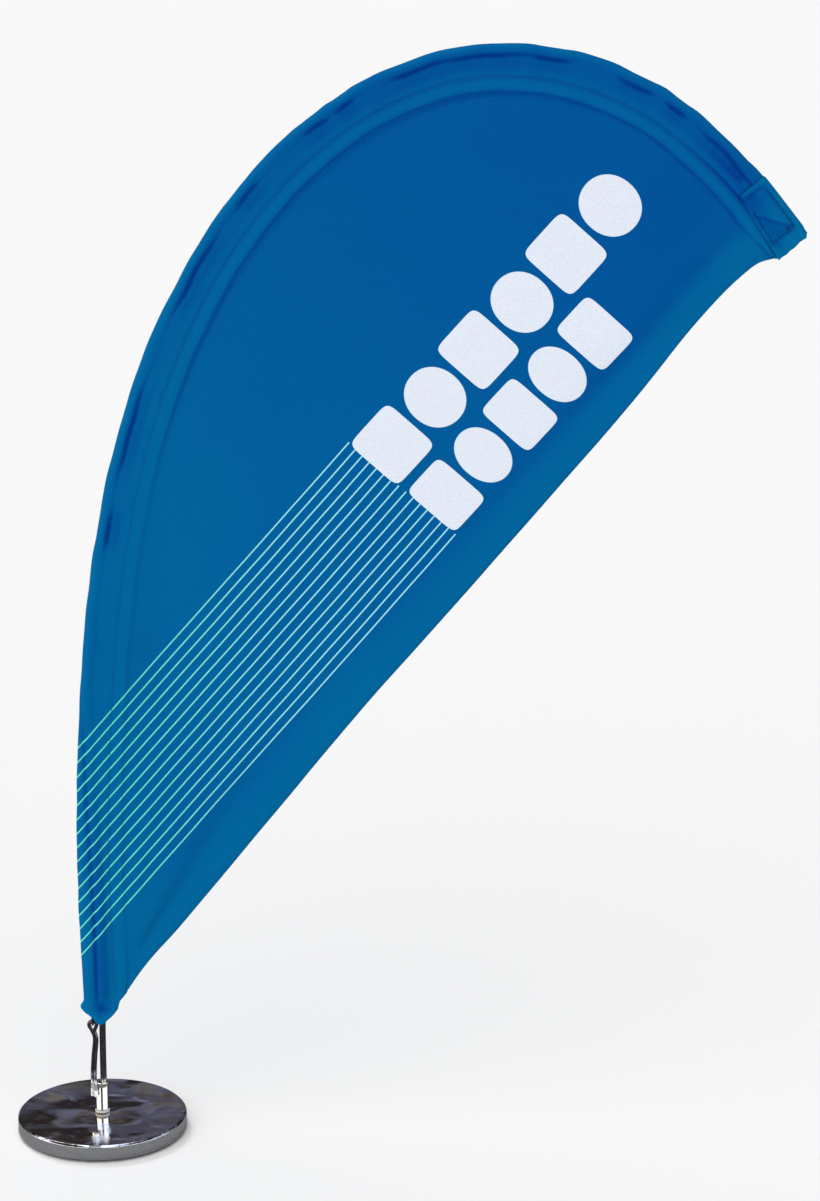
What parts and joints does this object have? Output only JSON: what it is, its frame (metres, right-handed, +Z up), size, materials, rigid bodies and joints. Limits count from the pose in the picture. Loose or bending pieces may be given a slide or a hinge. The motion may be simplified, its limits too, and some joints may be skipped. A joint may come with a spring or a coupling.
{
  "type": "table-top teardrop flag",
  "caption": "Small printed cloth teardrop sail, bowed by a thin steel rod in a sewn sleeve, that swivels on a heavy round chrome base with a non-slip pad.",
  "frame": {"origin": "centre of the underside of the base, on the face it rests on", "axes": "+Z up the pole; the sail stands in the XZ plane and leans towards +X; its printed face looks along -Y"},
  "size_m": [0.2953, 0.065, 0.4171],
  "materials": {
    "pad_rubber": "matte",
    "polished_chrome": "polished",
    "screw_steel": "satin",
    "nylon": "satin",
    "bright_wire": "polished",
    "cap_plastic": "matte",
    "printed_cloth": "matte",
    "sleeve_cloth": "matte",
    "elastic": "matte"
  },
  "bodies": {
    "base": {"base_pad": "pad_rubber", "base_disc": "polished_chrome", "spindle_screw": "screw_steel"},
    "swivel": {"thrust_washer": "nylon"},
    "flag": {"pole_post": "polished_chrome", "hook_wire": "bright_wire", "pole_rod": "bright_wire", "rod_cap": "cap_plastic", "flag_panel": "printed_cloth", "pole_sleeve": "sleeve_cloth", "seam_binding": "sleeve_cloth", "tip_pocket": "sleeve_cloth", "corner_tab": "sleeve_cloth", "tension_loop": "elastic"}
  },
  "joints": [
    {"name": "flag_swivel", "type": "hinge", "parent": "base", "child": "swivel", "pos_m": [0, 0, 0.0072], "axis": [0, 0, 1], "continuous": true},
    {"name": "pole_lift", "type": "slide", "parent": "swivel", "child": "flag", "axis": [0, 0, 1], "range_m": [0, 0.012]}
  ]
}
